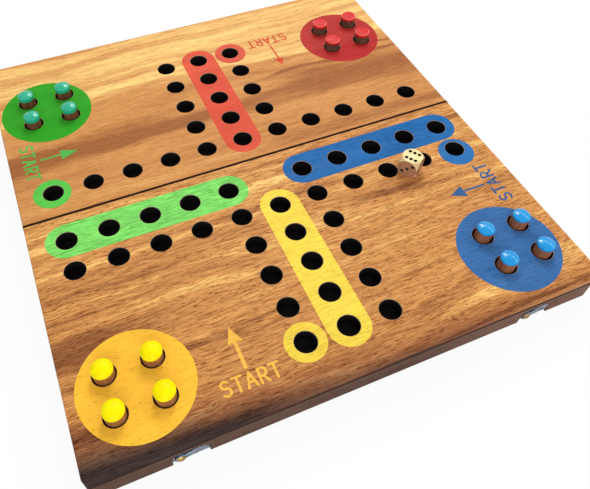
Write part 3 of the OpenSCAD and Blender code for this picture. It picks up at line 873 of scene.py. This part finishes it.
def rail_material(name, turn, seed, pale, middle, deep, ends=(1.0, 1.0)):
    """Lacquered rail wood, with its grain along the rail and a shade for each of its ends."""
    material, tree, shader = finish_material(name, 0.45)
    vector = object_place(tree, turn)
    grain = added_node(tree, "ShaderNodeGroup", {
        "Vector": vector, "Pale": (*pale, 1), "Middle": (*middle, 1), "Deep": (*deep, 1),
        "Seed": seed, "Heart Y": 40.0 * seed, "Heart Z": -38.0, "Ring Width": 5.0,
        "Contrast": 1.1, "Pores": 0.8}, node_tree=wood).outputs
    shade = ramp(tree, parts(tree, vector)["X"], 20 * MM, 110 * MM, *ends)
    glued = glue_line(tree, vector, board_z - 1.1 * MM, board_z - 0.5 * MM)
    colour = blended(tree, glued, scaled(tree, grain["Color"], shade), (0.03, 0.014, 0.010))
    tree.links.new(colour, shader.inputs["Base Color"])
    tree.links.new(ramp(tree, grain["Tone"], 0.3, 0.7, 0.55, 0.42), shader.inputs["Roughness"])
    bumped(tree, shader, grain["Height"], 0.1)
    return material


def softened_copy(node, name, width, body, materials, angle=35, segments=2):
    """A copy of a construction piece with its sharp edges rubbed off, which replaces it."""
    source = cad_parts[node].data
    shape = bmesh.new()
    shape.from_mesh(source)
    bmesh.ops.remove_doubles(shape, verts=shape.verts[:], dist=weld_gap)
    bmesh.ops.dissolve_limit(
        shape, angle_limit=math.radians(1.0), verts=shape.verts[:], edges=shape.edges[:])
    mesh = bpy.data.meshes.new(name)
    shape.to_mesh(mesh)
    shape.free()
    piece = linked(name, mesh)
    mesh.materials.clear()
    for material in materials:
        mesh.materials.append(material)
    bevel = piece.modifiers.new("rubbed_edges", "BEVEL")
    bevel.width = width
    bevel.segments = segments
    bevel.limit_method = "ANGLE"
    bevel.angle_limit = math.radians(angle)
    bevel.use_clamp_overlap = True
    bpy.context.view_layer.update()
    seen = piece.evaluated_get(bpy.context.evaluated_depsgraph_get())
    piece.data = bpy.data.meshes.new_from_object(seen)
    piece.modifiers.clear()
    piece.data.name = name
    smooth_by_angle(piece.data)
    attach(piece, body)
    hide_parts(node)
    return piece


rail_tones = ((0.23, 0.12, 0.078), (0.15, 0.078, 0.053), (0.075, 0.042, 0.033))
side_tones = ((0.55, 0.29, 0.12), (0.40, 0.19, 0.08), (0.20, 0.09, 0.045))
for half in ("front", "back"):
    for rail, turn, seed, tones in (("outer", 0, 2.3, rail_tones), ("hinge", 0, 4.1, side_tones),
                                    ("left", 90, 3.2, side_tones), ("right", 90, 6.4, side_tones)):
        own_seed = seed + (0.5 if half == "front" else 0.0)
        ends = (0.74, 1.25) if (half, rail) == ("front", "outer") else (1.0, 1.0)
        grain = rail_material(
            f"{half}_{rail}_rail_wood", math.radians(turn), own_seed, *tones, ends)
        softened_copy(f"{half}_{rail}_rail", f"{half}_{rail}_rail_strip", rail_edge,
                      f"{half}_half", [grain])

# Backing panels
# A thin sheet of plywood let in between the rails of each half. It is stained black, closes
# the drilled holes from below, and is the floor of the tray when the box is shut.


def panel_material():
    """Black stain on plywood, with the open grain of its face veneer."""
    material, tree, shader = finish_material("panel_black_stain", 0.55)
    place = object_place(tree)
    veneer = cloud(tree, stretched(tree, place, 0.040, 0.0014, 0.0014), 3.0, 4.0, 0.6)
    soft = cloud(tree, stretched(tree, place, 0.090, 0.030, 0.030), 7.0, 2.0)
    stain = blended(tree, veneer, (0.006, 0.005, 0.005), (0.022, 0.018, 0.015))
    stain = blended(tree, sums(tree, "MULTIPLY", soft, 0.5), stain, (0.010, 0.008, 0.008))
    tree.links.new(stain, shader.inputs["Base Color"])
    tree.links.new(ramp(tree, veneer, 0.3, 0.7, 0.62, 0.45), shader.inputs["Roughness"])
    bumped(tree, shader, veneer, 0.08)
    return material


panel_stain = panel_material()
for half in ("front", "back"):
    softened_copy(f"{half}_backing_panel", f"{half}_tray_floor", 0.2 * MM,
                  f"{half}_half", [panel_stain])

# Hinges
# Two small butt hinges under the seam, pressed from brass sheet and rolled round a steel pin.
# Countersunk brass screws with a straight slot hold their leaves in the rims.


def metal_material(name, dull, bright, roughness, scratch_mm=0.6):
    """Sheet metal with fine polishing lines and faint tarnish."""
    material, tree, shader = finish_material(name, roughness, metallic=1.0, specular=0.5)
    place = object_place(tree)
    lines = cloud(tree, stretched(
        tree, place, 20 * scratch_mm * MM, scratch_mm * 0.2 * MM, scratch_mm * 0.2 * MM), 5.0, 3.0)
    tarnish = cloud(tree, stretched(tree, place, 0.004, 0.004, 0.004), 9.0, 4.0, 0.6)
    tree.links.new(blended(tree, ramp(tree, tarnish, 0.35, 0.65), dull, bright),
                   shader.inputs["Base Color"])
    grain = sums(tree, "MULTIPLY_ADD", lines, 0.16, roughness - 0.08)
    tree.links.new(sums(tree, "MULTIPLY_ADD", tarnish, -0.12, sums(tree, "ADD", grain, 0.06)),
                   shader.inputs["Roughness"])
    bumped(tree, shader, lines, 0.01)
    return material


brass = metal_material("hinge_brass", (0.36, 0.22, 0.075), (0.60, 0.41, 0.16), 0.36)
pin_steel = metal_material("pin_steel", (0.38, 0.37, 0.36), (0.62, 0.61, 0.60), 0.32)
for side in ("left", "right"):
    for half in ("front", "back"):
        softened_copy(f"{side}_hinge_{half}_leaf", f"{side}_hinge_{half}_plate", 0.08 * MM,
                      f"{half}_half", [brass], angle=40, segments=1)
    softened_copy(f"{side}_hinge_pin", f"{side}_hinge_wire", 0.1 * MM,
                  "front_half", [pin_steel])

screw_head_r = 1.85 * MM
screw_shank_r = 0.85 * MM
screw_head_h = 1.0 * MM
screw_l = 7.9 * MM
slot_w = 0.42 * MM
slot_depth = 0.45 * MM
screw_sunk = 0.02 * MM


def screw_tree():
    """A countersunk screw with a straight slot at each point, each turned its own way."""
    tree, given = geometry_tree("slotted_screws", [
        ("Head Radius", "NodeSocketFloat"), ("Shank Radius", "NodeSocketFloat"),
        ("Head Height", "NodeSocketFloat"), ("Length", "NodeSocketFloat"),
        ("Slot Width", "NodeSocketFloat"), ("Slot Depth", "NodeSocketFloat"),
        ("Metal", "NodeSocketMaterial"), ("Seed", "NodeSocketInt")])
    head = added_node(tree, "GeometryNodeMeshCone", {
        "Vertices": 32, "Radius Bottom": given["Head Radius"],
        "Radius Top": given["Shank Radius"], "Depth": given["Head Height"]})
    shank = added_node(tree, "GeometryNodeMeshCylinder", {
        "Vertices": 16, "Radius": sums(tree, "MULTIPLY", given["Shank Radius"], 0.95),
        "Depth": given["Length"]})
    middle = added_node(tree, "ShaderNodeCombineXYZ", {
        "Z": sums(tree, "MULTIPLY_ADD", given["Length"], 0.5, 0.3 * MM)})
    shank = added_node(tree, "GeometryNodeTransform", {
        "Geometry": shank.outputs["Mesh"], "Translation": middle.outputs[0]})
    whole = added_node(
        tree, "GeometryNodeMeshBoolean", {"Mesh 2": head.outputs["Mesh"]}, operation="UNION",
        solver="EXACT")
    tree.links.new(shank.outputs[0], whole.inputs["Mesh 2"])
    size = added_node(tree, "ShaderNodeCombineXYZ", {
        "X": sums(tree, "MULTIPLY", given["Head Radius"], 3.0), "Y": given["Slot Width"],
        "Z": sums(tree, "MULTIPLY", given["Slot Depth"], 2.0)})
    blade = added_node(tree, "GeometryNodeMeshCube", {"Size": size.outputs[0]})
    cut = added_node(
        tree, "GeometryNodeMeshBoolean",
        {"Mesh 1": whole.outputs["Mesh"], "Mesh 2": blade.outputs["Mesh"]},
        operation="DIFFERENCE", solver="EXACT")
    turn = added_node(tree, "FunctionNodeRandomValue", {"Seed": given["Seed"]},
                         data_type="FLOAT")
    turn.inputs[3].default_value = math.pi
    spin = added_node(tree, "ShaderNodeCombineXYZ", {"Z": turn.outputs[1]})
    many = added_node(tree, "GeometryNodeInstanceOnPoints", {
        "Points": given["Geometry"], "Instance": cut.outputs["Mesh"], "Rotation": spin.outputs[0]})
    real = added_node(tree, "GeometryNodeRealizeInstances", {0: many.outputs[0]})
    done = added_node(tree, "GeometryNodeSetMaterial", {
        "Geometry": real.outputs[0], "Material": given["Metal"]})
    tree.links.new(done.outputs[0], tree.nodes.new("NodeGroupOutput").inputs[0])
    return tree


def islands_middle(node):
    """The middle of each separate solid of a node, seen from above."""
    shape = bmesh.new()
    shape.from_mesh(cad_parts[node].data)
    bmesh.ops.remove_doubles(shape, verts=shape.verts[:], dist=weld_gap)
    waiting = set(shape.verts)
    middles = []
    while waiting:
        group = [waiting.pop()]
        for vert in group:
            for edge in vert.link_edges:
                other = edge.other_vert(vert)
                if other in waiting:
                    waiting.discard(other)
                    group.append(other)
        xs = [vert.co.x for vert in group]
        ys = [vert.co.y for vert in group]
        middles.append(((min(xs) + max(xs)) / 2, (min(ys) + max(ys)) / 2))
    shape.free()
    return sorted(middles)


rim_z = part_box("front_outer_rail")[0].z
slotted_screws = screw_tree()
for seed, half in enumerate(("front", "back")):
    node = f"{half}_hinge_screws"
    spots = bpy.data.meshes.new(f"{half}_screw_spots")
    spots.from_pydata([(x, y, rim_z + screw_sunk) for x, y in islands_middle(node)], [], [])
    screws = made_plain(linked(f"{half}_screw_spots", spots), slotted_screws, {
        "Head Radius": screw_head_r, "Shank Radius": screw_shank_r, "Head Height": screw_head_h,
        "Length": screw_l - screw_head_h, "Slot Width": slot_w, "Slot Depth": slot_depth,
        "Metal": brass, "Seed": 11 + seed}, f"{half}_hinge_slotted_screws")
    smooth_by_angle(screws.data)
    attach(screws, f"{half}_half")
    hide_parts(node)

# Latches and catch studs
# A stamped hook turns on a round-head brass rivet over a base plate, both let into the near
# rail at each side. It drops over a round-head stud of the far rail when the box is shut.
# Hook, plate and stud are nickel-plated, tinted blue as a painted reflection of the sky.
# The blue of this nickel is a painted reflection of the sky
nickel = metal_material("latch_nickel_painted_sky_blue", (0.19, 0.25, 0.33), (0.43, 0.50, 0.58), 0.28, 0.5)
for side in ("left", "right"):
    for node, body, width in (
            ("latch_plate", "front_half", 0.12), ("latch_hook", f"{side}_hook", 0.15),
            ("latch_rivet", "front_half", 0.12), ("catch_stud", "back_half", 0.12)):
        slot, metal = ("brass", brass) if node == "latch_rivet" else ("nickel", nickel)
        softened_copy(f"{side}_{node}", f"{side}_{node}_polished", width * MM, body,
                      [metal], angle=40)

# Pegs
# Turned brown dowels whose tops were dipped in paint: thick matt yellow and satin red, and
# glossy blue and green enamel that ends in a soft bead. Each stands in a hole of its base.
dip_t = 0.15 * MM
dowel_chamfer = 0.4 * MM
peg_facets = 64


def lathe(name, profile, materials, lift):
    """A closed turned form from (radius, height, material, waviness) steps, bottom to top."""
    form = bmesh.new()
    rings = []
    for radius, height, _, waviness in profile:
        ring = []
        if radius <= 0:
            rings.append([form.verts.new((0, 0, height))])
            continue
        for i in range(peg_facets):
            angle = math.tau * i / peg_facets
            ring.append(form.verts.new((
                radius * math.cos(angle), radius * math.sin(angle),
                height + waviness * lift(angle))))
        rings.append(ring)
    for low, high, (_, _, kind, _) in zip(rings, rings[1:], profile[1:]):
        for i in range(peg_facets):
            j = (i + 1) % peg_facets
            if len(low) == 1:
                face = form.faces.new((low[0], high[j], high[i]))
            elif len(high) == 1:
                face = form.faces.new((low[i], low[j], high[0]))
            else:
                face = form.faces.new((low[i], low[j], high[j], high[i]))
            face.material_index = kind
    bmesh.ops.recalc_face_normals(form, faces=form.faces[:])
    mesh = bpy.data.meshes.new(name)
    form.to_mesh(mesh)
    form.free()
    for material in materials:
        mesh.materials.append(material)
    return mesh


def dome_steps(r, dome_r, top, steps=10):
    """Radii and heights over a round top, from its edge to its middle."""
    edge = math.asin(r / dome_r)
    turns = [edge * (1 - i / steps) for i in range(steps + 1)]
    return [(dome_r * math.sin(turn), top - dome_r * (1 - math.cos(turn))) for turn in turns]


def dowel_material(name, pale, deep, seed):
    """Brown dowel wood, its grain upright."""
    material, tree, shader = finish_material(name, 0.5)
    place = object_place(tree)
    grain = cloud(tree, stretched(tree, place, 0.0007, 0.0007, 0.012), seed, 3.0, 0.6)
    broad = cloud(tree, stretched(tree, place, 0.004, 0.004, 0.030), seed + 2, 2.0)
    mixed = sums(tree, "MULTIPLY_ADD", grain, 0.6, sums(tree, "MULTIPLY", broad, 0.4))
    tree.links.new(blended(tree, ramp(tree, mixed, 0.3, 0.7), deep, pale),
                   shader.inputs["Base Color"])
    bumped(tree, shader, grain, 0.06)
    return material


def dipped_material(name, colour, roughness, coat, coat_roughness):
    """Dipped paint with faint runs and dust, glossy or matt."""
    material, tree, shader = finish_material(
        name, roughness, coat=coat, coat_roughness=coat_roughness, specular=0.08)
    place = object_place(tree)
    runs = cloud(tree, stretched(tree, place, 0.003, 0.003, 0.006), 2.0, 2.0)
    dust = cloud(tree, stretched(tree, place, 0.0006, 0.0006, 0.0006), 6.0, 2.0)
    even = ramp(tree, runs, 0.3, 0.7, 0.93, 1.04)
    tree.links.new(scaled(tree, colour, even), shader.inputs["Base Color"])
    tree.links.new(ramp(tree, dust, 0.35, 0.65, roughness - 0.04, roughness + 0.05),
                   shader.inputs["Roughness"])
    bumped(tree, shader, runs, 0.12)
    return material


bead_r = 0.25 * MM
red_chamfer = 1.1 * MM
peg_kinds = {
    # Height of the paint's edge above the playing surface, radius of the round top, paint
    # and dowel
    "yellow": (5.6, 6.8, dipped_material("yellow_dip", (1.0, 0.86, 0.0), 0.42, 0.0, 0.3),
               dowel_material("yellow_dowel", (0.46, 0.21, 0.075), (0.22, 0.09, 0.035), 1.0)),
    "blue": (5.6, 9.5, dipped_material("blue_enamel", (0.0, 0.30, 0.70), 0.28, 0.6, 0.06),
             dowel_material("blue_dowel", (0.40, 0.16, 0.075), (0.19, 0.07, 0.040), 2.0)),
    "green": (4.4, 9.5, dipped_material("green_enamel", (0.015, 0.41, 0.25), 0.28, 0.6, 0.06),
              dowel_material("green_dowel", (0.26, 0.10, 0.045), (0.055, 0.024, 0.014), 3.0)),
    "red": (5.0, None, dipped_material("red_dip", (0.62, 0.010, 0.010), 0.36, 0.1, 0.2),
            dowel_material("red_dowel", (0.18, 0.09, 0.058), (0.05, 0.025, 0.018), 4.0)),
}
# The paler red on the chamfer of the red pegs is a painted highlight
red_painted_highlight = dipped_material("red_chamfer_painted_highlight", (0.84, 0.10, 0.08), 0.34, 0.5, 0.2)
bare, painted, lit_chamfer = range(3)


def flat_crown(paint_r, top):
    """Steps of the flat top of a red peg, with a paler red on its chamfer as a painted highlight."""
    low = top - red_chamfer
    flat_r = paint_r - red_chamfer
    return [(paint_r, low - 0.1 * MM, painted, 0),
            (paint_r - 0.08 * MM, low + 0.05 * MM, lit_chamfer, 0),
            (flat_r + 0.12 * MM, top - 0.15 * MM, lit_chamfer, 0),
            (flat_r - 0.1 * MM, top - 0.02 * MM, painted, 0),
            (flat_r - 0.5 * MM, top, painted, 0), (0, top, painted, 0)]


def round_crown(paint_r, dome_r, top):
    """Steps of a round top that turns softly into the upright side."""
    dome = dome_steps(paint_r - 0.12 * MM, dome_r, top)
    edge_z = dome[0][1]
    steps = [(paint_r, edge_z - 0.3 * MM), (paint_r - 0.04 * MM, edge_z - 0.1 * MM)]
    return [(r, z, painted, 0) for r, z in steps + dome[:-1] + [(0, top)]]


def peg_mesh(node, colour, number):
    """One peg: dowel below, paint above, with the dipped edge a little uneven."""
    paint_line, dome_r, paint, dowel = peg_kinds[colour]
    low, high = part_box(node)
    paint_r = (high.x - low.x) / 2
    wood_r = paint_r - dip_t
    draw = random.Random(f"{colour}{number}")
    phase = draw.uniform(0, math.tau)
    sway = draw.uniform(0.10, 0.28) * MM
    line = surface_z + paint_line * MM
    profile = [(0, low.z, bare, 0), (wood_r - dowel_chamfer, low.z, bare, 0),
               (wood_r, low.z + dowel_chamfer, bare, 0), (wood_r, line, bare, 1)]
    for turn in (30, 60, 90):
        out = math.sin(math.radians(turn))
        up = 1 - math.cos(math.radians(turn))
        profile.append((wood_r + dip_t * out, line + bead_r * up, painted, 1))
    if dome_r is None:
        profile += flat_crown(paint_r, high.z)
    else:
        profile += round_crown(paint_r, dome_r * MM, high.z)
    mesh = lathe(
        f"{node}_turned", profile, [dowel, paint, red_painted_highlight],
        lambda angle: sway * (math.sin(angle + phase) + 0.3 * math.sin(3 * angle)))
    mesh.transform(Matrix.Translation(((low.x + high.x) / 2, (low.y + high.y) / 2, 0)))
    return mesh


for colour in peg_kinds:
    for number in (1, 2, 3, 4):
        node = f"{colour}_peg_{number}"
        peg = linked(f"{node}_turned", peg_mesh(node, colour, number))
        smooth_by_angle(peg.data, 38)
        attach(peg, node)
        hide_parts(node)

# Die
# A pale wooden cube tumbled until its corners are ball-round, waxed, with drilled pips that are
# filled with black.
# Its upright sides are painted brown and its round corners a middle tone, as painted shade beside its
# pale top.
die_low, die_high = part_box("die")
die_middle = (die_low + die_high) / 2


def die_wood_material(name, deep, pale):
    """Pale close-grained wood, waxed."""
    material, tree, shader = finish_material(name, 0.4)
    place = object_place(tree)
    grain = cloud(tree, stretched(tree, place, 0.006, 0.0007, 0.0007), 5.0, 3.0, 0.6)
    soft = cloud(tree, stretched(tree, place, 0.010, 0.004, 0.004), 1.0, 2.0)
    mixed = sums(tree, "MULTIPLY_ADD", grain, 0.5, sums(tree, "MULTIPLY", soft, 0.5))
    tree.links.new(blended(tree, ramp(tree, mixed, 0.3, 0.7), deep, pale),
                   shader.inputs["Base Color"])
    bumped(tree, shader, grain, 0.03)
    return material


def pip_material():
    """Black lacquer in the pips."""
    material, tree, shader = finish_material("die_pip_black", 0.35)
    place = object_place(tree)
    dust = cloud(tree, stretched(tree, place, 0.0005, 0.0005, 0.0005), 3.0, 2.0)
    tree.links.new(blended(tree, dust, (0.008, 0.008, 0.008), (0.028, 0.025, 0.022)),
                   shader.inputs["Base Color"])
    return material


# The upright sides and the rounded corners get darker copies of the pale die wood: painted shade
flat_side, pip, shaded_side, corner = range(4)
die_woods = [
    die_wood_material("die_flat_wood", (0.80, 0.68, 0.30), (0.92, 0.84, 0.46)), pip_material(),
    die_wood_material("die_shaded_side_wood", (0.30, 0.14, 0.08), (0.48, 0.25, 0.14)),
    die_wood_material("die_half_shaded_corner_wood", (0.66, 0.44, 0.23), (0.84, 0.64, 0.36))]
die = softened_copy("die", "die_tumbled", 0.12 * MM, "die", die_woods, angle=40)
half_edge = (die_high.z - die_low.z) / 2
die_turn = math.radians(35)
own_frame = Matrix.Rotation(-die_turn, 3, "Z")
pip_floor = 0.05 * MM
ball_r = 8.35 * MM
for face in die.data.polygons:
    spot = own_frame @ (Vector(face.center) - die_middle)
    normal = own_frame @ face.normal
    reach = max(abs(part) for part in spot)
    flat = max(abs(part) for part in normal) > 0.98
    if reach < half_edge - pip_floor and spot.length < ball_r:
        face.material_index = pip
    elif not flat:
        face.material_index = corner
    elif abs(normal.z) < 0.5:
        face.material_index = shaded_side
    else:
        face.material_index = flat_side
